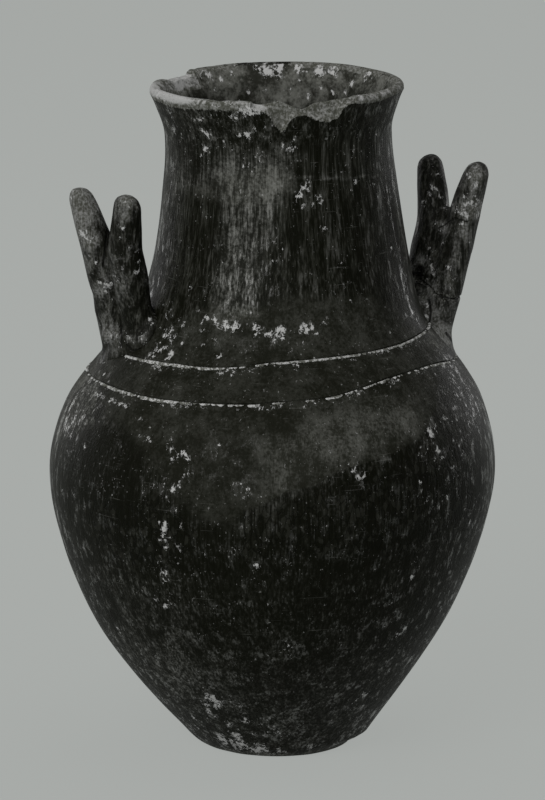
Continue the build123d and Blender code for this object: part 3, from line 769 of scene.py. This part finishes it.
for name, node, seed in (("upper", "upper_line_lime", 3.0), ("lower", "lower_line_lime", 8.0)):
    level = lines[name]["level"] - limeBead["drop"]
    middle = float(outerRadius(level)) - limeBead["set"]
    bead = [(middle + limeBead["width"] * cos(a), level + limeBead["width"] * 0.7 * sin(a))
            for a in np.linspace(0, 2 * pi, 11)[:-1]]
    mesh = toMesh(name + "LineLime", spinWall(bead))
    co = getPoints(mesh)
    turn = turnOf(co)
    ring = np.stack((np.cos(turn), np.sin(turn), np.full(len(co), seed)), axis=1)
    left = 0.5 * bell((np.degrees(turn) - 212) / 14) * (name == "lower")
    ragged = 0.6 * perlin(ring, 4) + 0.6 * perlin(ring, 13) + 0.6 * perlin(ring, 47) + 0.5 * perlin(ring, 130)
    kept = ease((ragged + limeBead["keep"][name] + left) / 0.9)
    radius = radiusOf(co)
    thin = middle + (radius - middle) * (0.35 + 0.65 * kept) - (1 - kept) * limeBead["sink"]
    thin = thin + limeBead["rough"] * (perlin(co, 330) + perlin(co, 170))
    co[:, :2] *= (thin / radius)[:, None]
    fat = 1 + limeBead["fat"] * bell((np.degrees(turn) - limeBead["fatAt"]) / limeBead["fatOver"])
    co[:, 2] = level + (co[:, 2] - level) * (0.4 + 0.8 * kept) * fat
    setPoints(mesh, handShape(followLines(co)))
    makePiece(name + "LineLime", mesh, node, chalk)

# Neck course
mesh = toMesh("neckWall", spinWall(courseLoop(seams["neck"], seams["rim"])))
finishWall("neckWall", mesh, "neck_wall", outsideOf(getPoints(mesh)))

# Rim course with the lip, its two front spalls and the chip at the back left
rim = {
    "lip": [(0.0847, 0.4484), (0.0832, 0.4499), (0.0805, 0.4499), (0.0782, 0.4484)],
    "outerTop": 0.4462, "innerTop": 0.4455, "fineFrom": 0.424, "fineStep": 0.0011, "innerFrom": 0.425,
    "innerFine": 0.002, "lipWave": 0.0011, "nick": 0.0012, "lift": 0.0015, "frontLift": 0.0036, "liftFrom": 0.436,
    "liftOver": 0.013, "leftTo": 258, "leftEndTo": 198, "rightFrom": 352,  # places on the front lip, pixels across
    "dips": [(298, 10, 0.0026), (276, 6, -0.0016), (258, 9, 0.0013)],  # front lip: (pixel across, width, depth)
    "spall": [(252, 107), (258, 111), (263, 117), (270, 121), (277, 128), (281, 132), (286, 129), (290, 123),
              (297, 117), (303, 116), (310, 119), (316, 121), (323, 123), (330, 122), (338, 120), (345, 113),
              (351, 105), (354, 101)],  # lower edge, in pixels
    "hollow": 0.0008, "chipFrom": 135, "chipTo": 164, "chipTop": 0.4505, "chipDrop": 0.0042, "chipLump": 0.0007,
    "chipJag": 2.5,
    "bare": {"edge": 0.75, "right": 0.3, "left": 0.92, "leftEnd": 1.4, "spall": 1.0, "chip": 1.95},
}

lipLine = smoothLine([(float(outerRadius(rim["outerTop"])), rim["outerTop"])] + rim["lip"]
                     + [(float(innerRadius(rim["innerTop"])), rim["innerTop"])], 5)
rimOuter = rowsBetween(outerLine, seams["rim"][0], rim["fineFrom"], jar["step"])[:-1]
rimOuter += rowsBetween(outerLine, rim["fineFrom"], rim["outerTop"], rim["fineStep"])
rimLip = [(float(r), float(z)) for r, z in lipLine[1:-1]]
rimInner = rowsBetween(innerLine, rim["innerTop"], rim["innerFrom"], rim["innerFine"])[:-1]
rimInner += rowsBetween(innerLine, rim["innerFrom"], seamInside(*seams["rim"]), jar["innerStep"])
rimRows = np.array(rimOuter + rimLip + rimInner)
lipStart, lipEnd = len(rimOuter), len(rimOuter) + len(rimLip)
mesh = toMesh("rimCourse", spinWall([tuple(p) for p in rimRows]))
co = getPoints(mesh)
radius = radiusOf(co)
turn = turnOf(co)
flat = co * (1, 1, 0)
across = toPixels(co)[0]
tree = kdtree.KDTree(len(rimRows))
for i, (r, z) in enumerate(rimRows):
    tree.insert((r, z, 0), i)
tree.balance()
rimRun = runOf(rimRows)
run = rimRun[[tree.find((r, z, 0))[1] for r, z in zip(radius, co[:, 2])]]  # length round the section to each point

foot = [onJar(px, py) for px, py in rim["spall"]]
footTurn = [atan2(p[1], p[0]) % (2 * pi) for p in foot]
footRun = np.interp([p[2] for p in foot], rimRows[:lipStart, 1], rimRun[:lipStart])
inRun = rimRun[lipEnd - 4]
inRadius, inHeight = (np.interp(inRun, rimRun, rimRows[:, axis]) for axis in (0, 1))
startRun = np.interp(turn, footTurn, footRun, left=9, right=9) + 0.0008 * perlin(flat, 180)
share = np.clip((run - startRun) / np.maximum(inRun - startRun, 1e-5), 0, 1) * (run < inRun + 1e-6)
spalled = (share > 0) & (startRun < inRun - 0.004)
startRadius, startHeight = (np.interp(startRun, rimRun, rimRows[:, axis]) for axis in (0, 1))
rough = 0.0005 * perlin(co, 140) + 0.0004 * perlin(co, 420)
broken = startRadius + (inRadius - startRadius) * share - rim["hollow"] * np.sin(pi * share) + rough
scale = np.where(spalled, broken, radius) / radius

dip = sum(depth * bell((across - at) / wide) for at, wide, depth in rim["dips"])
dip = dip * (co[:, 1] < 0) * ease((co[:, 2] - 0.44) / 0.008)
height = np.where(spalled, startHeight + (inHeight - startHeight) * share, co[:, 2]) - dip
angle = np.degrees(turn)
jag = rim["chipJag"] * perlin(flat, 90)
chip = ease((angle - rim["chipFrom"] + jag) / 1.2) * ease((rim["chipTo"] + jag - angle) / 12)
top = rim["chipTop"] + (rim["chipLump"] * perlin(flat, 150) - rim["chipDrop"]) * chip
height = np.where((height > top) & (chip > 0.05), top - 0.12 * (height - top), height)
ring = np.stack((np.cos(turn), np.sin(turn), 0 * turn), axis=1)
height = height + rim["lipWave"] * perlin(ring, 2.3) * ease((co[:, 2] - 0.425) / 0.02)
edge = ease((run - rimRun[lipStart - 4]) / 0.0055) * ease((rimRun[lipEnd] - run) / 0.003)
height = height - rim["nick"] * edge * np.clip(perlin(flat, 120) - 0.15, 0, 1)
lift = rim["lift"] + rim["frontLift"] * ease((0.03 - co[:, 1]) / 0.1)
height = height + lift * ease((height - rim["liftFrom"]) / rim["liftOver"])
formed = np.stack((co[:, 0] * scale, co[:, 1] * scale, height), axis=1)

inFront = ease(-co[:, 1] / 0.03)
frontLeft = ease((rim["leftTo"] - across) / 20) * inFront
frontRight = ease((across - rim["rightFrom"]) / 8) * inFront
leftEnd = ease((rim["leftEndTo"] - across) / 26)
broad = ease((run - rimRun[lipStart - 6]) / 0.0085)
inwards = ease((rimRun[lipEnd] + 0.01 * leftEnd - run) / (0.003 + 0.006 * leftEnd))
crest = bell((run - rimRun[lipStart + 3]) / 0.0024)
rubbed = 0.5 * perlin(co, 35) + 0.4 * perlin(co, 95)
lipBare = np.maximum(edge * (rim["bare"]["edge"] + rim["bare"]["right"] * frontRight + rubbed),
                     broad * inwards * (rim["bare"]["left"] * frontLeft + rim["bare"]["leftEnd"] * leftEnd + rubbed))
lipBare = lipBare + crest * (0.3 * frontLeft + 0.5 * leftEnd + 0.5 * frontRight) * (0.7 + 0.8 * perlin(co, 70))
spallBare = np.where(spalled, rim["bare"]["spall"] + 0.5 * ease((270 - across) / 14), 0.0)
chipBare = rim["bare"]["chip"] * chip * (1 + 0.25 * rubbed) * ease((co[:, 2] - 0.437) / 0.006)
bare = np.maximum(np.maximum(lipBare, spallBare), chipBare)
lipLime = edge * (0.4 + 0.35 * frontLeft + 0.3 * leftEnd) * ease(perlin(co, 26) + 0.45)
finishWall("rimCourse", mesh, "rim_course", outsideOf(co), bare=bare, lime=lipLime, first=formed)

# Handles: two rolls drawn up side by side, forked into horns, in a frame on the root (out, along, up)
handle = {
    "root": 0.1031, "height": 0.286, "turn": 14.75, "skew": 33.25, "lean": 0.0205, "strapHigh": 0.0645,
    "rolls": [(-0.026, 0.0108, 0.0122, 0.0103), (0.0, 0.0112, 0.0118, 0.0104), (0.03, 0.0116, 0.0118, 0.011),
              (0.05, 0.0121, 0.0119, 0.0116), (0.0645, 0.0127, 0.0116, 0.0117), (0.08, 0.0164, 0.0104, 0.0105),
              (0.0955, 0.0203, 0.0091, 0.0091), (0.1, 0.0207, 0.0078, 0.0078), (0.1028, 0.0209, 0.0053, 0.0053),
              (0.1041, 0.021, 0.0022, 0.0022)],  # (level, set along the strap, half width, half thickness)
    "web": [(-0.026, 0.0, 0.012, 0.0097), (0.0, 0.0, 0.012, 0.0098), (0.035, 0.0, 0.012, 0.0106),
            (0.052, 0.0, 0.011, 0.0105), (0.06, 0.0, 0.009, 0.0085), (0.064, 0.0, 0.005, 0.004)],
    "voxel": 0.0011, "furrow": 0.00035, "lump": 0.0008, "hornLean": 0.005, "hornHigh": 0.031,
    "tenon": 0.009, "tenonLong": 0.024, "tenonSet": -0.001, "facing": 40.6,
    "webRise": {"left": 0.0, "right": 0.007}, "webThick": {"left": 0.42, "right": 0.95},
    "knobs": {"left": [((0.0108, -0.0065, 0.002), 0.0066), ((0.0108, 0.009, 0.002), 0.0064),
                       ((0.0095, 0.0198, 0.003), 0.006)],
              "right": [((0.006, 0.004, -0.006), 0.006)]},
}
collar = {  # clay wiped round the roots, out onto the wall
    "top": 0.01, "rise": {"left": 0.012, "right": 0.013}, "spread": {"left": 0.007, "right": 0.011},
    "bow": {"left": 0.6, "right": 1.6}, "thinning": {"left": 1.2, "right": 0.0},  # the left one thins out to the flank
    "rings": 8, "points": 90, "thick": 0.021, "wide": 0.046, "cover": 0.0006,
}
breakSet = {"level": 0.022, "slope": 20.0, "film": 0.0012, "filmSet": 0.0011, "wave": 0.0013, "worn": 0.0011,
            "wornOver": 0.0016, "bare": 0.5, "bareFrom": 0.0018, "bareOver": 0.0014,
            "pitAlong": 0.0085, "pitLevel": 0.0285, "pitRadius": 0.0047, "pitDepth": 0.007}
sides = {"left": handle["turn"] + 180, "right": handle["turn"]}


def rootSpot(side):
    turn = radians(sides[side])
    return Vector((handle["root"] * cos(turn), handle["root"] * sin(turn), handle["height"]))


def rootFrame(side):
    return Matrix.Translation(rootSpot(side)) @ Matrix.Rotation(radians(sides[side] + handle["skew"]), 4, "Z")


def wallFrame(turn):  # turned so that its upright stands square on the shoulder
    return Matrix.Rotation(radians(turn), 4, "Z") @ Matrix.Rotation(radians(90 - handle["facing"]), 4, "Y")


def outAt(level):  # how far the leaning strap and its horns stand out at a level
    lean = handle["lean"] * level / handle["strapHigh"]
    if level <= handle["strapHigh"]:
        return lean
    return min(lean, handle["lean"] + handle["hornLean"] * (level - handle["strapHigh"]) / handle["hornHigh"])


def addRoll(bm, rings, side):
    loops = []
    for level, along, wide, thick in rings:
        place = Matrix.Translation((outAt(level), side * along, level)) @ Matrix.Diagonal((thick, wide, 1, 1))
        verts = bmesh.ops.create_circle(bm, segments=28, radius=1, matrix=place)["verts"]
        loops.append(list({edge for v in verts for edge in v.link_edges}))
    for low, high in zip(loops, loops[1:]):
        bmesh.ops.bridge_loops(bm, edges=low + high)
    bmesh.ops.holes_fill(bm, edges=loops[0] + loops[-1], sides=0)


def addFlare(bm, side):
    place = rootFrame(side)
    loops = []
    spans = [(t, 0.0) for t in np.linspace(0, 1, collar["rings"])] + [(1.0, 0.004), (0.5, 0.006), (0.0, 0.002)]
    for count, (t, sunk) in enumerate(spans):
        verts = bmesh.ops.create_circle(bm, segments=collar["points"], radius=1)["verts"]
        loops.append(list({e for v in verts for e in v.link_edges}))
        for v in verts:
            bow = collar["bow"][side] + collar["thinning"][side] * float(ease((-0.1 - v.co.y) / 0.5))
            grow = -0.005 if count > collar["rings"] else collar["spread"][side] * t ** bow
            thick = (collar["thick"] / 2 + grow) * abs(v.co.x) ** 0.8 * (1 if v.co.x > 0 else -1)
            wide = (collar["wide"] / 2 + grow) * abs(v.co.y) ** 0.8 * (1 if v.co.y > 0 else -1)
            level = 0.0
            for _ in range(6):  # the strap leans, so its middle moves with the level
                spot = place @ Vector((outAt(level) + thick, wide, level))
                level = float(wallTop(spot.xy.length)) - handle["height"] - sunk
                level += collar["rise"][side] * (1 - t) ** bow
            v.co = (outAt(level) + thick, wide, level)
    for low, high in zip(loops, loops[1:] + loops[:1]):
        bmesh.ops.bridge_loops(bm, edges=low + high)


def handleBlank(side):
    bm = bmesh.new()
    addRoll(bm, handle["rolls"], 1)
    addRoll(bm, handle["rolls"], -1)
    addRoll(bm, [(level + handle["webRise"][side] * ease(level / 0.05), along, wide, thick * handle["webThick"][side])
                 for level, along, wide, thick in handle["web"]], 1)
    inwards = wallFrame(-handle["skew"]) @ Matrix.Translation((0, 0, handle["tenonSet"]))
    bmesh.ops.create_cone(bm, cap_ends=True, segments=32, radius1=handle["tenon"], radius2=handle["tenon"],
                          depth=handle["tenonLong"], matrix=inwards)
    addFlare(bm, side)
    for spot, size in handle["knobs"][side]:
        bmesh.ops.create_icosphere(bm, subdivisions=3, radius=size, matrix=Matrix.Translation(spot))
    bmesh.ops.recalc_face_normals(bm, faces=bm.faces)
    rough = bpy.data.objects.new("blank", toMesh("blank", bm))
    scene.collection.objects.link(rough)
    remesh = rough.modifiers.new("fuse", "REMESH")
    remesh.mode = "VOXEL"
    remesh.voxel_size = handle["voxel"]
    fused = bpy.data.meshes.new_from_object(rough.evaluated_get(bpy.context.evaluated_depsgraph_get()))
    bpy.data.objects.remove(rough)
    bm = bmesh.new()
    bm.from_mesh(fused)
    for count in range(14):  # the root is wiped smoother than the rest
        part = bm.verts if count < 5 else [v for v in bm.verts if v.co.z < collar["top"] + 0.006]
        bmesh.ops.smooth_vert(bm, verts=part, factor=0.5, use_axis_x=True, use_axis_y=True, use_axis_z=True)
    mesh = toMesh(side + "Handle", bm)
    co = getPoints(mesh)
    normals = getNormals(mesh)
    own = co + (0, 0, 0.4 if side == "left" else 0.9)  # so that the two aren't alike
    move = handle["furrow"] * perlin(own, np.array((260, 260, 24))) + handle["lump"] * perlin(own, 55)
    co = co + normals * move[:, None]
    if side == "right":
        pit = breakSet["pitRadius"]
        gap = np.hypot(co[:, 1] - breakSet["pitAlong"], co[:, 2] - breakSet["pitLevel"]) / pit
        towards = (normals[:, 0] < -0.3) & (gap < 1.25)
        co[:, 0] += np.where(towards, breakSet["pitDepth"] * ease((1.15 - gap) / 0.4), 0)
    setPoints(mesh, co)
    return mesh


def breakWave(co):  # uneven run of the break, by its place across the strap
    wave = breakSet["wave"] * perlin(co * (1, 1, 0) + (0, 0, 0.3), 75)
    return wave + co[:, 1] * tan(radians(breakSet["slope"])) + breakSet["level"]


def cutOut(mesh, planes, name):  # part of a handle on the near side of each plane, closed again
    bm = bmesh.new()
    bm.from_mesh(mesh)
    for spot, way in planes:
        bmesh.ops.bisect_plane(bm, geom=bm.verts[:] + bm.edges[:] + bm.faces[:], dist=1e-7, plane_co=spot, plane_no=way,
                               clear_outer=True)
        bmesh.ops.holes_fill(bm, edges=[e for e in bm.edges if e.is_boundary], sides=0)
    bmesh.ops.triangulate(bm, faces=[f for f in bm.faces if len(f.verts) > 4])
    return toMesh(name, bm)


# Dust, a painted highlight, and lime on the handles, as (pixel across, pixel down, size in pixels, strength)
handleDustAndSheen = {
    "left": [
        # the first three, on top of the left back horn, are dust with a painted highlight
        (80, 205, 16, 1.0), (74, 196, 8, 1.1), (90, 198, 11, .8), (76, 232, 12, .8), (90, 240, 10, .7),
        (84, 262, 9, .5), (128, 198, 9, .8), (126, 214, 7, .5), (105, 270, 10, .4), (97, 290, 8, .45),
        (104, 312, 7, .35), (122, 290, 7, .3), (113, 335, 6, .6), (130, 339, 4, .7), (142, 338, 4, .6),
        (120, 352, 6, .2)
    ],
    "right": [
        (476, 178, 10, .75), (470, 208, 10, .75), (462, 230, 9, .4), (446, 228, 6, .3), (452, 262, 8, .3),
        (449, 280, 8, .55), (432, 268, 6, .45), (424, 262, 5, .5), (430, 284, 5, .45), (411, 268, 4, .5),
        (436, 192, 6, .25), (438, 316, 12, .5), (432, 303, 8, .4), (443, 335, 8, 1.4), (440, 344, 7, 1.1),
        (431, 291, 6, .9), (424, 298, 5, .8), (437, 284, 4, .6)
    ],
}
handleLime = {
    "left": [
        (74, 192, 3, .6), (84, 235, 5, .9), (92, 238, 4, .8), (79, 226, 3, .6), (96, 262, 3, .7), (93, 275, 2.5, .6),
        (100, 283, 3, .7), (109, 285, 4, .7), (103, 290, 3, .6), (138, 250, 2.5, .9), (138, 262, 2.5, .9),
        (137, 272, 3, .9), (127, 200, 3, .7), (113, 335, 4, .7), (130, 339, 4.5, .8), (142, 338, 4, .65),
        (122, 345, 3, .5), (150, 320, 3, .6), (117, 262, 2, .5), (112, 300, 3, .5), (126, 200, 3, .8),
        (130, 207, 2.5, .8), (124, 228, 2.5, .8), (121, 238, 2, .7), (134, 210, 2, .7), (70, 197, 2.5, .8),
        (86, 240, 3, .8), (90, 257, 2, .7), (114, 276, 2, .7), (118, 280, 2, .6)
    ],
    "right": [
        (473, 168, 3, .7), (480, 176, 3, .6), (470, 204, 6, .95), (463, 212, 4, .8), (476, 214, 4, .7),
        (474, 196, 3, .6), (428, 172, 2.5, .6), (438, 174, 2.5, .7), (433, 188, 3, .7), (440, 196, 3, .7),
        (424, 206, 2, .5), (447, 206, 4, .6), (428, 258, 3, .7), (433, 272, 4, .8), (428, 280, 2.5, .6),
        (449, 268, 3, .7), (455, 278, 3, .6), (452, 287, 3, .6), (440, 230, 3, .5), (464, 167, 3, .8),
        (468, 176, 3, .8), (474, 186, 3, .9), (466, 196, 3, .8), (458, 211, 3, .8), (461, 223, 3, .7),
        (466, 214, 3, .8), (478, 200, 3, .7), (434, 169, 2.5, .7), (431, 194, 2.5, .7), (424, 202, 2.5, .7),
        (436, 223, 2, .7), (429, 249, 2.5, .7), (431, 266, 3, .7), (443, 243, 2, .6), (424, 325, 1.6, 1.1),
        (426, 316, 1.6, 1.1), (428, 305, 2.2, 1.0)
    ],
}
# Cracks in the handles and their roots, and dark lines of painted shade in creases: pixels along each, and half width
# in pixels
handleCracksAndShade = {
    "left": [
        # on the left, the first two are painted shadow at the side and foot of the root's heel, and the last is painted
        # shade in the groove between the rolls
        ([(96, 333), (100, 344), (104, 352), (103, 362)], 1.0), ([(127, 345), (133, 351), (146, 348), (154, 338)], 0.9),
        ([(121, 329), (122, 338), (121, 346)], 0.8), ([(137, 330), (137, 340)], 0.7),
        ([(107, 230), (104.5, 254), (103, 267)], 0.9),
    ],
    "right": [
        ([(446, 333), (452, 341), (458, 351)], 1.1), ([(429, 300), (431, 312), (429, 326), (424, 336)], 0.9),
        ([(412, 270), (417, 283), (426, 287)], 0.7), ([(440, 228), (455, 218), (468, 222)], 0.6),
    ],
}


def crackAt(px, py, cracks):
    depth = np.zeros(len(px))
    for path, half in cracks:
        for start, end in zip(path, path[1:]):
            depth = np.maximum(depth, np.exp(-0.5 * (toStretch(px, py, start, end) / half) ** 2))
    return depth


def finishHandle(name, mesh, node, side, finish=grip):
    co = getPoints(mesh)
    drift = perlin(co + (0, 0, len(side)), 38)
    seam = np.abs(co[:, 2] - breakWave(co)) if side == "right" else np.full(len(co), 1.0)
    mesh.transform(rootFrame(side))
    setPoints(mesh, handShape(getPoints(mesh)))
    px, py = toPixels(getPoints(mesh))
    shown = np.stack((px, py), axis=1)
    facing = ease(0.5 - getNormals(mesh) @ ahead / 0.4)  # 1 on what the photograph shows
    dust = facing * daubsAt(shown, handleDustAndSheen[side]) + 0.25 + (0.5 - 0.25 * facing) * drift
    lime = np.maximum(facing * daubsAt(shown, handleLime[side]), (0.7 - 0.35 * facing) * np.clip(drift, 0, 1))
    bare = breakSet["bare"] * bell((seam - breakSet["bareFrom"]) / breakSet["bareOver"])
    setMasks(mesh, bare=bare, crack=facing * crackAt(px, py, handleCracksAndShade[side]),
             wiped=ease((collar["top"] - co[:, 2]) / 0.006), dust=dust, lime=lime)
    makePiece(name, mesh, node, finish)


fork = Vector((0, 0, handle["strapHigh"]))
mid, upwards, along = Vector((0, 0, 0)), Vector((0, 0, 1)), Vector((0, 1, 0))
for side, inner, outerHorn in (("left", "Front", "Back"), ("right", "Back", "Front")):
    blank = handleBlank(side)
    for way, which in ((-1, inner), (1, outerHorn)):
        horn = cutOut(blank, [(fork, -upwards), (mid, along * way)], side + which + "Horn")
        finishHandle(side + which + "Horn", horn, f"{side}_{which.lower()}_horn", side)
    root = cutOut(blank, [(Vector((0, 0, collar["top"])), upwards)], side + "RootCollar")
    finishHandle(side + "RootCollar", root, f"{side}_root_collar", side)
    strap = cutOut(blank, [(fork, upwards)], side + "Strap")
    under = getPoints(strap)
    tuck = collar["cover"] * ease((collar["top"] - under[:, 2]) / 0.002)
    setPoints(strap, under - getNormals(strap) * tuck[:, None])  # the strap runs on under the wiped clay
    if side == "left":
        finishHandle("leftHandleStrap", strap, "left_handle_strap", side)
        continue
    co = getPoints(strap)
    wave = breakWave(co)
    bend = np.clip(1 - np.abs(co[:, 2] - wave) / breakSet["wornOver"], 0, 1)
    co = co - getNormals(strap) * (breakSet["worn"] * bend)[:, None]
    setPoints(strap, np.stack((co[:, 0], co[:, 1], co[:, 2] - wave), axis=1))  # the break lies level while it is cut
    half = Vector((0, 0, breakSet["film"] / 2))
    for name, node, planes in (("rightHandleStub", "right_handle_stub", [(-half, upwards)]),
                               ("rightHandleGlue", "right_handle_glue", [(half, upwards), (-half, -upwards)]),
                               ("rightHandleStrap", "right_handle_strap", [(half, -upwards)])):
        cut = cutOut(strap, planes, name)
        co = getPoints(cut)
        if name == "rightHandleGlue":
            co[:, :2] = co[:, :2] - getNormals(cut)[:, :2] * breakSet["filmSet"]
        setPoints(cut, np.stack((co[:, 0], co[:, 1], co[:, 2] + breakWave(co)), axis=1))
        if name == "rightHandleGlue":
            finishHandle(name, cut, node, side, glue)
        else:
            finishHandle(name, cut, node, side)

# Wads of clay pressed round the tenons inside the jar
wad = {"radius": 0.017, "high": 0.0062, "lump": 0.0016, "grain": 0.0005}

for side, turn in sides.items():
    lay = wallFrame(turn)
    spot = rootSpot(side) - lay @ Vector((0, 0, jar["wall"]))
    shape = Matrix.Translation(spot) @ lay @ Matrix.Diagonal((wad["radius"], wad["radius"], wad["high"], 1))
    bm = bmesh.new()
    bmesh.ops.create_icosphere(bm, subdivisions=5, radius=1, matrix=shape)
    mesh = toMesh(side + "TenonWad", bm)
    co = getPoints(mesh)
    lump = wad["lump"] * perlin(co, 90) + wad["grain"] * perlin(co, 250)
    setPoints(mesh, handShape(co + getNormals(mesh) * lump[:, None]))
    makePiece(side + "TenonWad", mesh, f"{side}_tenon_wad", wadClay)

# Pale floor, soft light from the upper left and a paler edge from both sides
stageSet = {"floor": (0.408, 0.425, 0.41, 1), "rough": 0.9, "half": 9, "even": 0.86, "world": 0.36,
            "aim": (0, 0, 0.24)}
lamps = {"key": ((-1.7, -3.2, 2.0), 3.0, 104), "top": ((0.2, 0.3, 2.8), 2.0, 12),
         "leftEdge": ((-1.6, 1.6, 0.6), 0.9, 7), "rightEdge": ((1.6, 1.6, 0.6), 0.9, 8)}  # (place, size, power)

bm = bmesh.new()
bmesh.ops.create_grid(bm, x_segments=1, y_segments=1, size=stageSet["half"])
floor = bpy.data.objects.new("paleFloor", toMesh("paleFloor", bm))
card = Finish("paleCard")
card.feed(card.shader.inputs["Base Color"], stageSet["floor"])
card.feed(card.shader.inputs["Roughness"], stageSet["rough"])
card.feed(card.shader.inputs["Specular IOR Level"], 0.0)
seen = card.node("ShaderNodeLightPath", out="Is Camera Ray") + card.node("ShaderNodeLightPath", out="Is Glossy Ray")
flat = card.node("ShaderNodeEmission", {}, {"Color": stageSet["floor"], "Strength": 1.0})
lit = Wire(card, card.shader.outputs[0])
both = card.node("ShaderNodeMixShader", {}, {0: seen * stageSet["even"], 1: lit, 2: flat})
card.tree.links.new(both.socket, card.tree.nodes["Material Output"].inputs["Surface"])
floor.data.materials.append(card.material)
scene.collection.objects.link(floor)

scene.world = scene.world or bpy.data.worlds.new("studio")
scene.world.use_nodes = True
sky = scene.world.node_tree.nodes["Background"].inputs
sky["Color"].default_value = (1, 1, 1, 1)
sky["Strength"].default_value = stageSet["world"]
for name, (place, size, power) in lamps.items():
    lamp = bpy.data.lights.new(name, "AREA")
    lamp.shape = "SQUARE"
    lamp.size = size
    lamp.energy = power
    lampObject = bpy.data.objects.new(name, lamp)
    lampObject.location = place
    lampObject.rotation_euler = (Vector(stageSet["aim"]) - Vector(place)).to_track_quat("-Z", "Y").to_euler()
    scene.collection.objects.link(lampObject)
print("floor and lamps set")
